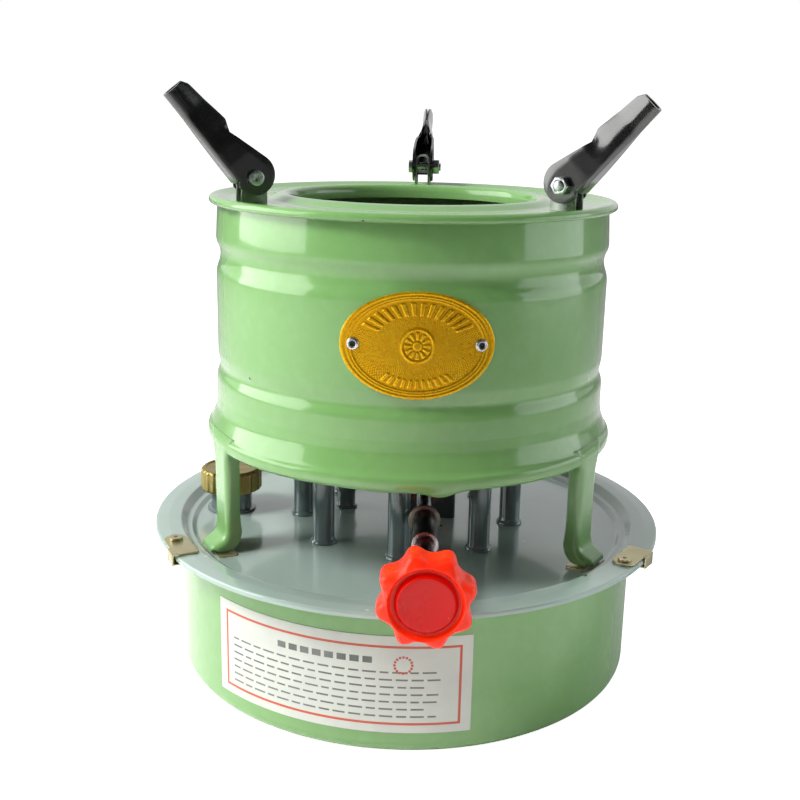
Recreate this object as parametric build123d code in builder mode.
from build123d import *
import os
from math import acos, atan2, cos, degrees, pi, radians, sin, sqrt, tan

# Eight-wick kerosene stove: an enamelled tank with a dished lid, a drum on three legs with folding
# pot arms, and a rack and pinion that raises the wicks.
# Millimetres. Origin: centre of the tank's underside. +Z is up and -Y is the knob side.
# Azimuths are in degrees, from the front (-Y) towards +X.

# Layout shared by the wick tubes, legs, arms and clips
layout_turn = -3.5
third_azimuths = [-60 + layout_turn, 60 + layout_turn, 180 + layout_turn]
side_names = ["left", "right", "back"]
sheet = 0.8

# Tank
tank_r = 108
tank_corner_r = 5
tank_flange_r = 117.8
tank_flange_z = 65

# Lid
lid_r = 120
lid_top_z = 68.8
lid_edge_z = 66.2
lid_floor_z = 63
lid_floor_r = 101.5
lid_ledge_z = 64.7
lid_rim_inner_r = 107.8
gasket_inner_r = 109
gasket_outer_r = 111.8

# Lid clips
rivet_circle_r = 114.5
rivet_r = 1.5
rivet_head_r = 3
rivet_head_height = 1.1
clip_sheet = 0.8
clip_half_width = 5.2
clip_gap = 0.1
clip_length = 17
clip_jaw_start = 9

# Filler
filler_x = -87
filler_y = 9
neck_r = 10
neck_sheet = 0.9
neck_collar_r = 13.3
neck_collar_z = 75
neck_top_z = 82
cap_r = 15
cap_skirt_z = 74
cap_top_z = 84.6
cap_flutes = 24
cap_flute_r = 0.9
cap_dish_depth = 0.5
gasket_thick = 1.2

# Wicks and their lift
wick_count = 8
wick_circle_r = 50.5
wick_r = 3.8
tube_r = 5
tube_bore_r = 4.4
tube_low_z = 60
wick_low_z = 8
foot_bead = 1
foot_bead_height = 1.2
wick_top_z = 115
carrier_z = 20
carrier_thick = 2
carrier_r = 58
carrier_holes = 6
carrier_hole_r = 5
carrier_hole_circle_r = 28

# Rack and pinion
gear_module = 1.0
pinion_teeth = 12
pressure_angle = 20
pinion_addendum = 0.9
rack_addendum = 0.65
tooth_clearance = 0.2
backlash = 0.16
pinion_width = 8
pinion_pitch_r = gear_module * pinion_teeth / 2
pinion_tip_r = pinion_pitch_r + pinion_addendum
pinion_root_r = pinion_pitch_r - rack_addendum - tooth_clearance
pinion_base_r = pinion_pitch_r * cos(radians(pressure_angle))
shaft_x = 8
shaft_z = 85
rack_y = 8
rack_half = 3
rack_thick = 5
rack_hole_r = 4.9
rack_top_z = 93
rack_teeth_below = 7
rack_teeth_above = 2

# Rack housing
housing_left_x = -5.6
housing_right_x = 24
housing_depth = 16
housing_top_z = 111
housing_wall = 1.2
housing_corner_r = 2

# Guide beside the rack
guide_x = -30
guide_y = 14.5
guide_rod_r = 3
guide_tube_r = 4.3
guide_tube_top_z = 106
guide_rod_reach = 20
guide_collar_z = 72
guide_collar_height = 2.5

# Shaft line
shaft_r = 3.25
running_gap = 0.05
shaft_back_y = housing_depth
bush_r = 5
bush_flange = 1.5
bush_barrel = 2.8
collar_y = -60
collar_r = 7
collar_width = 1.5
coupling_r = 5.2
e_clip_r = 5.6
e_clip_thick = 1
e_clip_gap = 3.4
sleeve_front_y = -88
sleeve_joint_y = -74
spindle_r = 3.6
knob_back_y = -132
knob_front_y = -146
knob_r = 19
knob_lobes = 8
knob_turn = -16
knob_scallop_r = 6.4
knob_scallop_circle_r = 22.4
knob_ring_r = 11.8
knob_dish_r = 10
knob_hub_r = 7.2
knob_hub_length = 7
knob_bore_depth = 15

# Burner
burner_base_z = 113
burner_inner_r = 46.4
burner_outer_r = 54.6
sleeve_top_z = 190
sleeve_hole_r = 1.6
sleeve_hole_rows = 7
sleeve_holes_round = 20
sleeve_pin_r = 1.4
burner_cap_rise = 7
burner_base_wall = 5

# Drum
drum_r = 89.3
drum_low_r = 89.9
drum_bead_r = 94.3
drum_bottom_z = 109
drum_wall_top_z = 218.4
drum_lip_r = 92
drum_lip_z = 219.6
plate_z = 217.5
hole_r = 55.8
hole_ring_z = 220.2
lower_groove_z = 143
upper_groove_z = 193.5

# Legs
leg_width = 16
leg_sheet = 1.2
leg_outer_r = 94.4
leg_inner_r = 88
leg_toe_r = 100.8
leg_top_z = 124
leg_tongue_depth = 4.6
leg_turn = 1.5
leg_azimuths = [azimuth + leg_turn for azimuth in third_azimuths]
foot_tab_thick = 0.8

# Pot arms
pivot_r = 77
pivot_z = 228.2
arm_leans = [39, 42, 55]
arm_sheet = 1.1
arm_half_width = 5.1
arm_tip_half_width = 2.6
arm_tip_corner = (48.4, 1)
arm_step_top = (26, 6.1)
arm_step_low = (21.5, 3.6)
arm_lobe_centre = 0.9
arm_web_v = -7.8
arm_length = 48.4
lobe_r = 8.7
bolt_r = 2
bolt_head_r = 3.2
bolt_head_height = 2.2
bolt_socket_r = 1.3
nut_half_flat = 3.5
nut_height = 3.2
bracket_half_width = 3.9
bracket_half_depth = 5.75
bracket_sheet = 1.2
bracket_swing_r = 6.4

# Badge and label
badge_azimuth = 1.9
badge_z = 168.3
badge_half_width = 31
badge_half_height = 21.4
badge_thick = 0.8
eyelet_spread = 16.1
eyelet_r = 1.6
eyelet_head_r = 2.5
eyelet_hole_r = 0.9
label_start_azimuth = -47
label_sweep = 62.3
label_low_z = 10
label_top_z = 53.3
label_thick = 0.25

up = Vector(0, 0, 1)


def outward(azimuth):
    """Unit vector pointing away from the stove's axis."""
    return Vector(sin(radians(azimuth)), -cos(radians(azimuth)), 0)


def sideways(azimuth):
    """Unit vector along the rim, anticlockwise seen from above."""
    return up.cross(outward(azimuth))


def radial_plane(azimuth):
    """Upright plane through the axis: local x points outward and local y points up."""
    return Plane(origin=(0, 0, 0), x_dir=outward(azimuth), z_dir=outward(azimuth).cross(up))


def rim_plane(azimuth, radius, height):
    """Level plane on the rim: local x points outward and local y runs along the rim."""
    return Plane(origin=outward(azimuth) * radius + up * height, x_dir=outward(azimuth), z_dir=up)


def spun_sheet(points, bend_r, side, thickness=sheet):
    """Sheet metal spun about the stove's axis, from the (radius, height) points of one face."""
    with BuildPart() as spun:
        with BuildSketch(Plane.XZ):
            with BuildLine():
                FilletPolyline(*points, radius=bend_r)
                offset(amount=thickness, side=side)
            make_face()
        revolve(axis=Axis.Z)
    return spun.part


def ring(inner_r, outer_r, low_z, high_z, x=0, y=0):
    """Plain upright ring or tube."""
    with BuildPart() as plain_ring:
        with BuildSketch(Plane.XY.offset(low_z)):
            with Locations((x, y)):
                Circle(outer_r)
                Circle(inner_r, mode=Mode.SUBTRACT)
        extrude(amount=high_z - low_z)
    return plain_ring.part


def y_ring(inner_r, outer_r, low_y, high_y):
    """Ring or tube on the control shaft's axis."""
    with BuildPart() as shaft_ring:
        with BuildSketch(Plane.XZ.offset(-high_y)):
            with Locations((shaft_x, shaft_z)):
                Circle(outer_r)
                if inner_r > 0:
                    Circle(inner_r, mode=Mode.SUBTRACT)
        extrude(amount=high_y - low_y)
    return shaft_ring.part


def save(part, name):
    """Label one finished sub-part and write its STEP file."""
    part.label = name
    export_step(part, f"parts/{name}.step")


wick_spots = [outward(layout_turn + i * 360 / wick_count) * wick_circle_r for i in range(wick_count)]
wick_points = [(spot.X, spot.Y) for spot in wick_spots]
rivet_spots = [outward(azimuth) * rivet_circle_r for azimuth in third_azimuths]
rivet_points = [(spot.X, spot.Y) for spot in rivet_spots]


# ---------------------------------------------------------------- tank and lid

def make_tank():
    outline = [(0, 0), (tank_r, 0), (tank_r, tank_flange_z), (tank_flange_r, tank_flange_z)]
    with BuildPart() as tank:
        with BuildSketch(Plane.XZ):
            with BuildLine():
                Polyline(*outline)
                offset(amount=sheet, side=Side.LEFT)
            make_face()
        revolve(axis=Axis.Z)
        floor_edges = tank.edges().filter_by(GeomType.CIRCLE).group_by(Axis.Z)
        outer_corner = floor_edges[0].sort_by(SortBy.RADIUS)[-1]
        inner_corner = floor_edges[1].sort_by(SortBy.RADIUS)[-1]
        fillet(outer_corner, tank_corner_r)
        fillet(inner_corner, tank_corner_r - sheet)
    return tank.part


def make_lid():
    """Dished lid: level floor, a small ledge, a raised rim and a turned-down edge."""
    outline = [
        (0, lid_floor_z),
        (lid_floor_r, lid_floor_z),
        (lid_floor_r + 1.6, lid_ledge_z),
        (lid_floor_r + 4.6, lid_ledge_z),
        (lid_rim_inner_r, lid_top_z),
        (lid_r, lid_top_z),
        (lid_r, lid_edge_z),
    ]
    spun = spun_sheet(outline, 0.85, Side.RIGHT)
    with BuildPart() as lid:
        add(spun)
        with BuildSketch(Plane.XY.offset(lid_floor_z)):
            with Locations(*wick_points):
                Circle(tube_r)
            with Locations((filler_x, filler_y)):
                Circle(neck_r)
            with Locations((guide_x, guide_y)):
                Circle(guide_tube_r)
            with Locations((housing_left_x + rack_hole_r, rack_y)):
                Circle(rack_hole_r)
        extrude(amount=-2 * sheet, mode=Mode.SUBTRACT)
        with BuildSketch(Plane.XY.offset(lid_top_z)):
            with Locations(*rivet_points):
                Circle(rivet_r)
        extrude(amount=-2 * sheet, mode=Mode.SUBTRACT)
    return lid.part


def make_clip(azimuth):
    """Sheet latch on the rim: round end at its rivet, and a jaw that hooks under the tank's flange."""
    top_z = lid_top_z + running_gap
    jaw_z = tank_flange_z - clip_gap
    wall_x = lid_r - rivet_circle_r + clip_gap
    plate_plane = rim_plane(azimuth, rivet_circle_r, top_z)
    with BuildPart() as clip:
        with BuildSketch(plate_plane):
            Circle(clip_half_width)
            with Locations((0, clip_jaw_start)):
                Rectangle(2 * clip_half_width, 2 * clip_jaw_start)
            with Locations((wall_x - clip_half_width, (clip_jaw_start + clip_length) / 2)):
                Rectangle(2 * clip_half_width + 2 * clip_sheet, clip_length - clip_jaw_start)
            Circle(rivet_r + running_gap, mode=Mode.SUBTRACT)
        extrude(amount=clip_sheet)
        with BuildSketch(plate_plane):
            with Locations((wall_x + clip_sheet / 2, (clip_jaw_start + clip_length) / 2)):
                Rectangle(clip_sheet, clip_length - clip_jaw_start)
        extrude(amount=-(top_z - jaw_z + clip_sheet))
        with BuildSketch(rim_plane(azimuth, rivet_circle_r, jaw_z)):
            with Locations((wall_x / 2 + clip_sheet / 2, (clip_jaw_start + clip_length) / 2)):
                Rectangle(wall_x + clip_sheet, clip_length - clip_jaw_start)
        extrude(amount=-clip_sheet)
    return clip.part


def make_clip_rivets():
    low_z = tank_flange_z + sheet + running_gap
    head_z = lid_top_z + clip_sheet + 2 * running_gap
    with BuildPart() as rivets:
        with BuildSketch(Plane.XY.offset(low_z)):
            with Locations(*rivet_points):
                Circle(rivet_r)
        extrude(amount=head_z - low_z)
        with BuildSketch(Plane.XY.offset(head_z)):
            with Locations(*rivet_points):
                Circle(rivet_head_r)
        extrude(amount=rivet_head_height)
        with BuildSketch(Plane.XY.offset(head_z + rivet_head_height)):
            with Locations(*rivet_points):
                Circle(rivet_r * 0.6)
        extrude(amount=-sheet, mode=Mode.SUBTRACT)
        with BuildSketch(Plane.XY.offset(lid_top_z - sheet)):
            with Locations(*rivet_points):
                Circle(rivet_head_r * 0.75)
        extrude(amount=-1)
    return rivets.part


# ---------------------------------------------------------------- filler

def make_filler_neck():
    outline = [
        (neck_r, tube_low_z),
        (neck_r, neck_collar_z),
        (neck_collar_r, neck_collar_z + 1),
        (neck_collar_r, neck_top_z),
    ]
    axis_plane = Plane(origin=(filler_x, filler_y, 0), x_dir=(1, 0, 0), z_dir=(0, -1, 0))
    with BuildPart() as neck:
        with BuildSketch(axis_plane):
            with BuildLine():
                Polyline(*outline)
                offset(amount=neck_sheet, side=Side.LEFT)
            make_face()
        revolve(axis=Axis((filler_x, filler_y, 0), (0, 0, 1)))
        with BuildSketch(Plane.XY.offset(lid_floor_z)):
            with Locations((filler_x, filler_y)):
                Circle(neck_r + 2)
                Circle(neck_r, mode=Mode.SUBTRACT)
        extrude(amount=1)
    return neck.part


def make_filler_cap():
    """Fluted screw cap; its thread is left plain."""
    with BuildPart() as cap:
        with BuildSketch(Plane.XY.offset(cap_skirt_z)):
            with Locations((filler_x, filler_y)):
                Circle(cap_r)
                with PolarLocations(cap_r + 0.3, cap_flutes):
                    Circle(cap_flute_r, mode=Mode.SUBTRACT)
        extrude(amount=cap_top_z - cap_skirt_z)
        with BuildSketch(Plane.XY.offset(cap_skirt_z)):
            with Locations((filler_x, filler_y)):
                Circle(neck_collar_r + running_gap)
        extrude(amount=neck_top_z + gasket_thick + 0.1 - cap_skirt_z, mode=Mode.SUBTRACT)
        with BuildSketch(Plane.XY.offset(cap_top_z)):
            with Locations((filler_x, filler_y)):
                Circle(cap_r - 3)
        extrude(amount=-cap_dish_depth, mode=Mode.SUBTRACT)
    return cap.part


# ---------------------------------------------------------------- wicks and lift

def make_wick_tubes():
    with BuildPart() as tubes:
        with BuildSketch(Plane.XY.offset(tube_low_z)):
            with Locations(*wick_points):
                Circle(tube_r)
                Circle(tube_bore_r, mode=Mode.SUBTRACT)
        extrude(amount=burner_base_z - tube_low_z)
        with BuildSketch(Plane.XY.offset(lid_floor_z)):
            with Locations(*wick_points):
                Circle(tube_r + foot_bead)
                Circle(tube_r, mode=Mode.SUBTRACT)
        extrude(amount=foot_bead_height)
    return tubes.part


def make_wicks():
    with BuildPart() as wicks:
        with BuildSketch(Plane.XY.offset(wick_low_z)):
            with Locations(*wick_points):
                Circle(wick_r)
        extrude(amount=wick_top_z - wick_low_z)
    return wicks.part


def make_wick_carrier():
    """Pierced disc inside the tank that grips every wick."""
    with BuildPart() as carrier:
        with BuildSketch(Plane.XY.offset(carrier_z)):
            Circle(carrier_r)
            with Locations(*wick_points):
                Circle(wick_r, mode=Mode.SUBTRACT)
            with PolarLocations(carrier_hole_circle_r, carrier_holes, start_angle=30):
                Circle(carrier_hole_r, mode=Mode.SUBTRACT)
        extrude(amount=carrier_thick)
    return carrier.part


def involute(angle):
    """Involute function of an angle in radians."""
    return tan(angle) - angle


def half_tooth_angle(radius):
    """Half of a pinion tooth's angle, in degrees, at a radius on or above the base circle."""
    flank = involute(radians(pressure_angle)) - involute(acos(min(1, pinion_base_r / radius)))
    return degrees(pi / (2 * pinion_teeth) + flank - backlash / (4 * pinion_pitch_r))


def polar_point(radius, angle):
    return (radius * cos(radians(angle)), radius * sin(radians(angle)))


def make_pinion():
    """Involute pinion; one tooth points straight at the rack."""
    middle_r = (pinion_base_r + pinion_tip_r) / 2
    flank_radii = [pinion_base_r, middle_r, pinion_tip_r]
    rising = [polar_point(r, -half_tooth_angle(r)) for r in flank_radii]
    falling = [polar_point(r, half_tooth_angle(r)) for r in reversed(flank_radii)]
    root_angle = half_tooth_angle(pinion_base_r)
    gear_back_y = rack_y + pinion_width / 2
    gear_plane = Plane(origin=(shaft_x, gear_back_y, shaft_z), x_dir=(-1, 0, 0), z_dir=(0, -1, 0))
    with BuildPart() as pinion:
        with BuildSketch(gear_plane):
            Circle(pinion_root_r)
            with BuildSketch(mode=Mode.PRIVATE) as tooth:
                with BuildLine():
                    Line((pinion_root_r - 1, 0), polar_point(pinion_root_r - 0.4, -root_angle))
                    Line(polar_point(pinion_root_r - 0.4, -root_angle), rising[0])
                    ThreePointArc(*rising)
                    Line(rising[2], falling[0])
                    ThreePointArc(*falling)
                    Line(falling[2], polar_point(pinion_root_r - 0.4, root_angle))
                    Line(polar_point(pinion_root_r - 0.4, root_angle), (pinion_root_r - 1, 0))
                make_face()
            with PolarLocations(0, pinion_teeth):
                add(tooth.sketch)
            Circle(shaft_r, mode=Mode.SUBTRACT)
        extrude(amount=pinion_width)
    return pinion.part


def make_rack():
    """Square bar with straight-sided teeth towards the pinion, standing on the wick carrier."""
    pitch = pi * gear_module
    pitch_x = shaft_x - pinion_pitch_r
    root_x = pitch_x - pinion_addendum - tooth_clearance
    tip_x = pitch_x + rack_addendum
    half_at_pitch = pitch / 4 - backlash / 4
    slope = tan(radians(pressure_angle))
    half_root = half_at_pitch + (pitch_x - root_x) * slope
    half_tip = half_at_pitch - rack_addendum * slope
    low_z = carrier_z + carrier_thick
    with BuildPart() as rack:
        with BuildSketch(Plane.XY.offset(low_z)):
            with Locations((root_x - rack_thick / 2, rack_y)):
                Rectangle(rack_thick, 2 * rack_half)
        extrude(amount=rack_top_z - low_z)
        with BuildSketch(Plane.XZ.offset(-rack_y)):
            for step in range(-rack_teeth_below, rack_teeth_above):
                tooth_z = shaft_z + (step + 0.5) * pitch
                with BuildLine():
                    Polyline(
                        (root_x - 0.5, tooth_z - half_root),
                        (root_x, tooth_z - half_root),
                        (tip_x, tooth_z - half_tip),
                        (tip_x, tooth_z + half_tip),
                        (root_x, tooth_z + half_root),
                        (root_x - 0.5, tooth_z + half_root),
                        close=True,
                    )
                make_face()
        extrude(amount=rack_half, both=True)
    return rack.part


def make_guide_rod():
    low_z = carrier_z + carrier_thick
    with BuildPart() as rod:
        with BuildSketch(Plane.XY.offset(low_z)):
            with Locations((guide_x, guide_y)):
                Circle(guide_rod_r)
        extrude(amount=lid_floor_z + guide_rod_reach - low_z)
    return rod.part


def make_guide_tube():
    """Blind tube on the lid with a collar, closed at its top."""
    with BuildPart() as tube:
        with BuildSketch(Plane.XY.offset(tube_low_z)):
            with Locations((guide_x, guide_y)):
                Circle(guide_tube_r)
        extrude(amount=guide_tube_top_z - tube_low_z)
        with BuildSketch(Plane.XY.offset(guide_collar_z)):
            with Locations((guide_x, guide_y)):
                Circle(guide_tube_r + 0.8)
        extrude(amount=guide_collar_height)
        with BuildSketch(Plane.XY.offset(lid_floor_z)):
            with Locations((guide_x, guide_y)):
                Circle(guide_tube_r + foot_bead)
        extrude(amount=foot_bead_height)
        with BuildSketch(Plane.XY.offset(tube_low_z)):
            with Locations((guide_x, guide_y)):
                Circle(guide_rod_r + running_gap)
        extrude(amount=guide_tube_top_z - tube_low_z - sheet, mode=Mode.SUBTRACT)
    return tube.part


def make_rack_housing():
    """Closed box on the lid around the rack and pinion."""
    width = housing_right_x - housing_left_x
    centre_x = (housing_right_x + housing_left_x) / 2
    height = housing_top_z - lid_floor_z
    with BuildPart() as housing:
        with BuildSketch(Plane.XY.offset(lid_floor_z)):
            with Locations((centre_x, housing_depth / 2)):
                Rectangle(width, housing_depth)
        extrude(amount=height)
        fillet(housing.edges().filter_by(Axis.Z), housing_corner_r)
        with BuildSketch(Plane.XY.offset(lid_floor_z)):
            with Locations((centre_x, housing_depth / 2)):
                Rectangle(width - 2 * housing_wall, housing_depth - 2 * housing_wall)
        extrude(amount=height - housing_wall, mode=Mode.SUBTRACT)
        with BuildSketch(Plane.XZ):
            with Locations((shaft_x, shaft_z)):
                Circle(bush_r)
        extrude(amount=-housing_depth / 2, mode=Mode.SUBTRACT)
        with BuildSketch(Plane.XZ.offset(-housing_depth)):
            with Locations((shaft_x, shaft_z)):
                Circle(shaft_r + running_gap)
        extrude(amount=housing_depth / 2, mode=Mode.SUBTRACT)
    return housing.part


def make_shaft_bush():
    """Flanged bearing in the housing's front wall."""
    flange = y_ring(shaft_r + running_gap, bush_r + bush_flange, -bush_flange, 0)
    barrel = y_ring(shaft_r + running_gap, bush_r, 0, bush_barrel)
    with BuildPart() as bush:
        add(flange)
        add(barrel)
    return bush.part


# ---------------------------------------------------------------- shaft line and knob

def make_coupling_sleeve():
    inner = y_ring(shaft_r, coupling_r, sleeve_joint_y, collar_y - collar_width)
    outer = y_ring(spindle_r, coupling_r, sleeve_front_y, sleeve_joint_y)
    with BuildPart() as sleeve:
        add(inner)
        add(outer)
    return sleeve.part


def make_e_clip():
    with BuildPart() as e_clip:
        with BuildSketch(Plane.XZ.offset(-(sleeve_front_y - 0.6))):
            with Locations((shaft_x, shaft_z)):
                Circle(e_clip_r)
                Circle(spindle_r, mode=Mode.SUBTRACT)
            with Locations((shaft_x, shaft_z - e_clip_r / 2 - 1)):
                Rectangle(e_clip_gap, e_clip_r, mode=Mode.SUBTRACT)
        extrude(amount=e_clip_thick)
    return e_clip.part


def make_knob():
    """Star knob: scalloped body, raised face ring, dished middle and a hub towards the shaft."""
    knob_plane = Plane(origin=(shaft_x, knob_back_y, shaft_z), x_dir=(1, 0, 0), z_dir=(0, -1, 0))
    face_plane = knob_plane.offset(knob_back_y - knob_front_y)
    with BuildPart() as knob:
        with BuildSketch(knob_plane):
            Circle(knob_r)
            half_pitch = 180 / knob_lobes
            with PolarLocations(knob_scallop_circle_r, knob_lobes, start_angle=90 - knob_turn + half_pitch):
                Circle(knob_scallop_r, mode=Mode.SUBTRACT)
        extrude(amount=knob_back_y - knob_front_y)
        lobe_edges = knob.edges().filter_by(Axis.Y)
        fillet(lobe_edges, 1.6)
        face_edges = knob.faces().sort_by(Axis.Y)[0].edges()
        fillet(face_edges, 1.5)
        with BuildSketch(face_plane):
            Circle(knob_ring_r)
            Circle(knob_dish_r, mode=Mode.SUBTRACT)
        extrude(amount=1)
        with BuildSketch(face_plane):
            Circle(knob_dish_r)
        extrude(amount=-0.8, mode=Mode.SUBTRACT)
        with BuildSketch(knob_plane):
            Circle(knob_hub_r)
        extrude(amount=-knob_hub_length)
        with BuildSketch(knob_plane.offset(-knob_hub_length)):
            Circle(spindle_r)
        extrude(amount=knob_bore_depth, mode=Mode.SUBTRACT)
    return knob.part


# ---------------------------------------------------------------- burner

def make_burner_base():
    """Shallow ring pan that the wick tubes end in and the flame sleeves stand on."""
    outline = [
        (burner_inner_r - 6, burner_base_z + burner_base_wall),
        (burner_inner_r - 6, burner_base_z),
        (burner_outer_r + 8, burner_base_z),
        (burner_outer_r + 8, burner_base_z + burner_base_wall),
    ]
    spun = spun_sheet(outline, 0.9, Side.RIGHT)
    with BuildPart() as base:
        add(spun)
        with BuildSketch(Plane.XY.offset(burner_base_z)):
            with Locations(*wick_points):
                Circle(tube_r)
        extrude(amount=-2 * sheet, mode=Mode.SUBTRACT)
    return base.part


def make_flame_sleeve(inner_r, outer_r, high_z):
    """Perforated tube; alternate rows of holes are staggered."""
    row_step = (sleeve_top_z - burner_base_z - 20) / sleeve_hole_rows
    wall = ring(inner_r, outer_r, burner_base_z, high_z)
    with BuildPart() as sleeve:
        add(wall)
        for row in range(sleeve_hole_rows):
            row_z = burner_base_z + 12 + row * row_step
            half_step = 180 / sleeve_holes_round * (row % 2)
            with Locations((0, 0, row_z)):
                with PolarLocations((inner_r + outer_r) / 2, sleeve_holes_round, start_angle=half_step):
                    Cylinder(sleeve_hole_r, 4, rotation=(0, 90, 0), mode=Mode.SUBTRACT)
    return sleeve.part


def make_burner_cap():
    """Disc with a shallow spherical dome, closing the inner sleeve."""
    rim_z = sleeve_top_z + 1.2
    dome_r = (burner_inner_r**2 + burner_cap_rise**2) / (2 * burner_cap_rise)
    dome_centre_z = rim_z + burner_cap_rise - dome_r
    middle_x = burner_inner_r / 2
    middle_z = dome_centre_z + sqrt(dome_r**2 - middle_x**2)
    with BuildPart() as cap:
        with BuildSketch(Plane.XZ):
            with BuildLine():
                Polyline((0, rim_z + burner_cap_rise), (0, sleeve_top_z), (burner_inner_r, sleeve_top_z))
                Line((burner_inner_r, sleeve_top_z), (burner_inner_r, rim_z))
                ThreePointArc((burner_inner_r, rim_z), (middle_x, middle_z), (0, rim_z + burner_cap_rise))
            make_face()
        revolve(axis=Axis.Z)
    return cap.part


def make_sleeve_pins():
    """Three short pins that hold the inner and outer sleeves together."""
    with BuildPart() as pins:
        for azimuth in third_azimuths:
            start = outward(azimuth + 60) * burner_inner_r + up * (sleeve_top_z - 6)
            with BuildSketch(Plane(origin=start, z_dir=outward(azimuth + 60))):
                Circle(sleeve_pin_r)
            extrude(amount=burner_outer_r - burner_inner_r - 0.02)
    return pins.part


# ---------------------------------------------------------------- drum

def make_drum_shell():
    """Rolled wall with two pressed grooves and a rounded bottom bead."""
    outline = [
        (drum_low_r + 0.4, drum_bottom_z),
        (drum_bead_r - 0.6, drum_bottom_z + 0.6),
        (drum_bead_r, drum_bottom_z + 4),
        (drum_bead_r - 1.6, drum_bottom_z + 9.5),
        (drum_low_r + 0.3, drum_bottom_z + 14),
        (drum_low_r, lower_groove_z - 5),
        (drum_low_r - 1.5, lower_groove_z - 1),
        (drum_low_r - 1.5, lower_groove_z + 1.5),
        (drum_r, lower_groove_z + 5),
        (drum_r, upper_groove_z - 6),
        (drum_r - 1.9, upper_groove_z - 1.5),
        (drum_r - 1.9, upper_groove_z + 1.5),
        (drum_r, upper_groove_z + 6),
        (drum_r, drum_wall_top_z),
    ]
    spun = spun_sheet(outline, 1.0, Side.LEFT)
    with BuildPart() as shell:
        add(spun)
        for offset_angle in (-eyelet_spread, eyelet_spread):
            with BuildSketch(badge_plane(offset_angle, drum_r + 2)):
                Circle(eyelet_r)
            extrude(amount=-6, mode=Mode.SUBTRACT)
    return shell.part


def make_drum_top():
    """Ring plate: rolled lip over the wall, and a raised ring with a turned-down collar at the hole."""
    outline = [
        (hole_r, plate_z - 3),
        (hole_r, hole_ring_z),
        (hole_r + 5, hole_ring_z),
        (hole_r + 8.5, plate_z),
        (drum_lip_r - 6, plate_z),
        (drum_lip_r - 4.6, drum_lip_z),
        (drum_lip_r, drum_lip_z),
        (drum_lip_r, drum_lip_z - 3.6),
    ]
    return spun_sheet(outline, 1.0, Side.RIGHT)


def make_leg(azimuth):
    """Pressed channel: web outside and flush with the drum's bead, a tongue inside the drum, and a toe."""
    sole_z = lid_floor_z + foot_tab_thick
    tongue_r = drum_low_r - sheet - 0.2
    shoulder_z = drum_bottom_z - 0.05
    heel_z = sole_z + 12
    with BuildPart() as leg:
        with BuildSketch(radial_plane(azimuth)):
            with BuildLine():
                Polyline(
                    (leg_inner_r, heel_z),
                    (leg_inner_r, drum_bottom_z - 8),
                    (tongue_r - leg_tongue_depth, drum_bottom_z),
                    (tongue_r - leg_tongue_depth, leg_top_z),
                    (tongue_r, leg_top_z),
                    (tongue_r, shoulder_z),
                    (leg_outer_r - 0.6, shoulder_z),
                    (leg_outer_r, shoulder_z - 0.6),
                    (leg_outer_r, sole_z + 9),
                    (leg_outer_r + 1.2, sole_z + 5.4),
                    (leg_toe_r - 2, sole_z + 3.4),
                    (leg_toe_r, sole_z + 2.2),
                    (leg_toe_r, sole_z),
                    (leg_outer_r - 0.4, sole_z),
                )
                Spline(
                    (leg_outer_r - 0.4, sole_z),
                    (leg_inner_r + 1.7, sole_z + 4),
                    (leg_inner_r, heel_z),
                    tangents=[(-1, 0.2), (0, 1)],
                )
            make_face()
        extrude(amount=leg_width / 2, both=True)
        with BuildSketch(radial_plane(azimuth)):
            with BuildLine():
                Polyline(
                    (leg_inner_r - 9, leg_top_z + 1),
                    (tongue_r - leg_sheet, leg_top_z + 1),
                    (tongue_r - leg_sheet, shoulder_z - leg_sheet),
                    (leg_outer_r - leg_sheet, shoulder_z - leg_sheet),
                    (leg_outer_r - leg_sheet, sole_z + 8.6),
                    (leg_outer_r + 0.3, sole_z + 4.4),
                    (leg_outer_r + 0.3, sole_z + leg_sheet),
                    (leg_inner_r - 9, sole_z + leg_sheet),
                    close=True,
                )
            make_face()
        extrude(amount=leg_width / 2 - leg_sheet, both=True, mode=Mode.SUBTRACT)
    return leg.part


def make_drum_legs():
    pieces = [make_leg(azimuth) for azimuth in leg_azimuths]
    with BuildPart() as legs:
        for piece in pieces:
            add(piece)
    return legs.part


def make_foot_tabs():
    """Small plates on the lid's floor that the legs are welded to."""
    with BuildPart() as tabs:
        for azimuth in leg_azimuths:
            with BuildSketch(rim_plane(azimuth, leg_toe_r - 6, lid_floor_z)):
                RectangleRounded(9, leg_width + 7, 2)
            extrude(amount=foot_tab_thick)
    return tabs.part


# ---------------------------------------------------------------- pot arms

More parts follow.
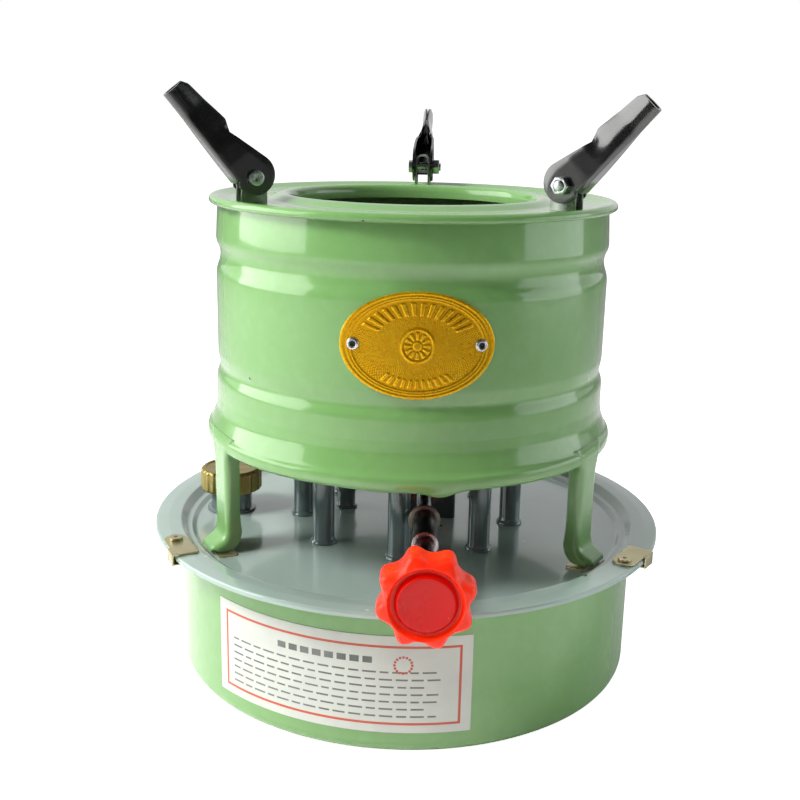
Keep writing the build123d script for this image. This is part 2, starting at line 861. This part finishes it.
def make_arm_brackets():
    """Inverted-U straps that carry the arms, rounded so that the arms can swing over them."""
    pieces = []
    for azimuth in third_azimuths:
        centre = outward(azimuth) * pivot_r
        strap_plane = Plane(origin=centre, x_dir=sideways(azimuth), z_dir=outward(azimuth))
        side_plane = Plane(
            origin=centre + up * pivot_z, x_dir=outward(azimuth), z_dir=outward(azimuth).cross(up)
        )
        arch_z = pivot_z + bracket_swing_r - bracket_half_width
        with BuildPart() as strap:
            with BuildSketch(strap_plane):
                with Locations((0, (plate_z + arch_z) / 2)):
                    Rectangle(2 * bracket_half_width, arch_z - plate_z)
                with Locations((0, arch_z)):
                    Circle(bracket_half_width)
                with Locations((0, (plate_z + arch_z) / 2 - 1)):
                    Rectangle(
                        2 * (bracket_half_width - bracket_sheet),
                        arch_z - plate_z + 2,
                        mode=Mode.SUBTRACT,
                    )
                with Locations((0, arch_z)):
                    Circle(bracket_half_width - bracket_sheet, mode=Mode.SUBTRACT)
            extrude(amount=bracket_half_depth, both=True)
            with BuildSketch(side_plane):
                Circle(bracket_swing_r)
                with Locations((0, (plate_z - pivot_z) / 2)):
                    Rectangle(2 * bracket_half_depth, pivot_z - plate_z)
            extrude(amount=10, both=True, mode=Mode.INTERSECT)
            with BuildSketch(side_plane):
                Circle(bolt_r)
            extrude(amount=10, both=True, mode=Mode.SUBTRACT)
        pieces.append(strap.part)
    with BuildPart() as brackets:
        for piece in pieces:
            add(piece)
    return brackets.part


def arm_outline(web_v):
    """Side outline of an arm, in (along, inward) coordinates from its pivot."""
    lobe = arm_lobe_centre
    low_x, low_y = arm_step_low
    reach = sqrt((low_x - lobe) ** 2 + (low_y - lobe) ** 2)
    touch = degrees(atan2(low_y - lobe, low_x - lobe) + acos(lobe_r / reach))
    touch_x, touch_y = polar_point(lobe_r, touch)
    start = (lobe + touch_x, lobe + touch_y)
    Polyline(
        (lobe, web_v),
        (arm_length, web_v),
        arm_tip_corner,
        (arm_length - 2.6, 2.9),
        arm_step_top,
        arm_step_low,
        start,
    )
    ThreePointArc(start, (lobe - lobe_r, lobe), (lobe, web_v))


def arm_plan(half_width, tip_half_width, far):
    """Bottle outline of an arm, in (along, across) coordinates from its pivot."""
    for side in (-1, 1):
        Polyline(
            (-lobe_r - 5, 0),
            (-lobe_r - 5, side * half_width),
            (12, side * half_width),
            (28, side * (half_width + tip_half_width) / 2),
            (36.5, side * tip_half_width),
            (far, side * tip_half_width),
            (far, 0),
        )


def make_arm(azimuth, lean):
    """Channel arm: web on its outer side, two cheeks around the bracket, narrowed towards the tip."""
    pivot = outward(azimuth) * pivot_r + up * pivot_z
    along = outward(azimuth) * sin(radians(lean)) + up * cos(radians(lean))
    side_plane = Plane(origin=pivot, x_dir=along, z_dir=outward(azimuth).cross(up))
    plan_plane = Plane(origin=pivot, x_dir=along, z_dir=along.cross(sideways(azimuth)))
    inner_half = arm_half_width - arm_sheet
    with BuildPart() as hollow:
        with BuildSketch(side_plane):
            with Locations((30, 15)):
                Rectangle(100, 2 * (15 - arm_web_v - arm_sheet))
        extrude(amount=inner_half, both=True)
        with BuildSketch(plan_plane):
            with BuildLine():
                arm_plan(inner_half, arm_tip_half_width - arm_sheet, arm_length + 5)
            make_face()
        extrude(amount=60, both=True, mode=Mode.INTERSECT)
    with BuildPart() as arm:
        with BuildSketch(side_plane):
            with BuildLine():
                arm_outline(arm_web_v)
            make_face()
        extrude(amount=arm_half_width, both=True)
        with BuildSketch(plan_plane):
            with BuildLine():
                arm_plan(arm_half_width, arm_tip_half_width, arm_length + 5)
            make_face()
        extrude(amount=60, both=True, mode=Mode.INTERSECT)
        add(hollow.part, mode=Mode.SUBTRACT)
        with BuildSketch(side_plane):
            with Locations((-7, arm_web_v)):
                Rectangle(20, 4)
        extrude(amount=inner_half, both=True, mode=Mode.SUBTRACT)
        with BuildSketch(side_plane):
            Circle(bolt_r + running_gap)
        extrude(amount=10, both=True, mode=Mode.SUBTRACT)
    return arm.part


def bolt_plane(azimuth, side_offset):
    """Plane across a pivot bolt, at a distance along the rim from the arm's middle."""
    centre = outward(azimuth) * pivot_r + up * pivot_z + sideways(azimuth) * side_offset
    return Plane(origin=centre, x_dir=outward(azimuth), z_dir=sideways(azimuth))


def make_pivot_bolts():
    head_start = arm_half_width + running_gap
    with BuildPart() as bolts:
        for azimuth in third_azimuths:
            with BuildSketch(bolt_plane(azimuth, -head_start - 4)):
                Circle(bolt_r)
            extrude(amount=2 * head_start + 4)
            with BuildSketch(bolt_plane(azimuth, head_start)):
                Circle(bolt_head_r)
            extrude(amount=bolt_head_height)
            with BuildSketch(bolt_plane(azimuth, head_start + bolt_head_height)):
                RegularPolygon(bolt_socket_r, 6)
            extrude(amount=-bolt_socket_r, mode=Mode.SUBTRACT)
    return bolts.part


def make_pivot_nuts():
    with BuildPart() as nuts:
        for azimuth in third_azimuths:
            with BuildSketch(bolt_plane(azimuth, -arm_half_width - running_gap)):
                RegularPolygon(nut_half_flat, 6, major_radius=False)
                Circle(bolt_r, mode=Mode.SUBTRACT)
            extrude(amount=-nut_height)
    return nuts.part


# ---------------------------------------------------------------- badge and label

def badge_plane(offset_angle, radius):
    """Plane facing outward on the drum wall at the badge's height."""
    azimuth = badge_azimuth + offset_angle
    origin = outward(azimuth) * radius + up * badge_z
    return Plane(origin=origin, x_dir=sideways(azimuth), z_dir=outward(azimuth))


def make_badge():
    """Oval plate curved to the drum wall."""
    wrap = ring(drum_r, drum_r + badge_thick, badge_z - 30, badge_z + 30)
    with BuildPart() as badge:
        with BuildSketch(badge_plane(0, drum_r - 20)):
            Ellipse(badge_half_width, badge_half_height)
        extrude(amount=40)
        add(wrap, mode=Mode.INTERSECT)
        for offset_angle in (-eyelet_spread, eyelet_spread):
            with BuildSketch(badge_plane(offset_angle, drum_r + 4)):
                Circle(eyelet_r)
            extrude(amount=-8, mode=Mode.SUBTRACT)
    return badge.part


def make_badge_eyelets():
    """Two hollow rivets through the badge and the drum wall."""
    face_r = drum_r + badge_thick
    with BuildPart() as eyelets:
        for offset_angle in (-eyelet_spread, eyelet_spread):
            with BuildSketch(badge_plane(offset_angle, face_r + 0.05)):
                Circle(eyelet_head_r)
            extrude(amount=0.7)
            with BuildSketch(badge_plane(offset_angle, face_r + 0.05)):
                Circle(eyelet_r)
            extrude(amount=-3)
            with BuildSketch(badge_plane(offset_angle, face_r + 0.8)):
                Circle(eyelet_hole_r)
            extrude(amount=-5, mode=Mode.SUBTRACT)
    return eyelets.part


def make_label():
    with BuildPart() as label:
        with BuildSketch(radial_plane(label_start_azimuth)):
            with Locations((tank_r + label_thick / 2, (label_low_z + label_top_z) / 2)):
                Rectangle(label_thick, label_top_z - label_low_z)
        revolve(axis=Axis.Z, revolution_arc=label_sweep)
    return label.part


# ---------------------------------------------------------------- all sub-parts

os.makedirs("parts", exist_ok=True)

save(make_tank(), "tank")
save(make_lid(), "lid")
save(ring(gasket_inner_r, gasket_outer_r, tank_flange_z + sheet, lid_top_z - sheet), "lid_gasket")
save(make_clip_rivets(), "clip_rivets")
for side_name, side_azimuth in zip(side_names, third_azimuths):
    save(make_clip(side_azimuth), f"lid_clip_{side_name}")

save(make_filler_neck(), "filler_neck")
save(make_filler_cap(), "filler_cap")
save(
    ring(neck_collar_r - 3, neck_collar_r - 0.3, neck_top_z, neck_top_z + gasket_thick, filler_x, filler_y),
    "cap_gasket",
)

save(make_wick_tubes(), "wick_tubes")
save(make_wicks(), "wicks")
save(make_wick_carrier(), "wick_carrier")
save(make_rack(), "rack_rod")
save(make_pinion(), "pinion")
save(make_guide_rod(), "guide_rod")
save(make_guide_tube(), "guide_tube")
save(make_rack_housing(), "rack_housing")
save(make_shaft_bush(), "shaft_bush")

save(y_ring(0, shaft_r, sleeve_joint_y, shaft_back_y), "control_shaft")
save(y_ring(shaft_r, collar_r, collar_y - collar_width, collar_y), "shaft_collar")
save(make_coupling_sleeve(), "coupling_sleeve")
save(y_ring(0, spindle_r, knob_back_y - knob_hub_length, sleeve_joint_y), "knob_spindle")
save(make_e_clip(), "e_clip")
save(make_knob(), "control_knob")

save(make_burner_base(), "burner_base")
save(make_flame_sleeve(burner_inner_r - sheet, burner_inner_r, sleeve_top_z), "inner_flame_sleeve")
save(make_flame_sleeve(burner_outer_r, burner_outer_r + 0.7, sleeve_top_z + 12), "outer_flame_sleeve")
save(make_sleeve_pins(), "sleeve_pins")
save(make_burner_cap(), "burner_cap")

save(make_drum_shell(), "drum_shell")
save(make_drum_top(), "drum_top")
save(make_drum_legs(), "drum_legs")
save(make_foot_tabs(), "foot_tabs")

save(make_arm_brackets(), "arm_brackets")
save(make_pivot_bolts(), "pivot_bolts")
save(make_pivot_nuts(), "pivot_nuts")
for side_name, side_azimuth, side_lean in zip(side_names, third_azimuths, arm_leans):
    save(make_arm(side_azimuth, side_lean), f"pot_arm_{side_name}")

save(make_badge(), "badge")
save(make_badge_eyelets(), "badge_eyelets")
save(make_label(), "label_panel")
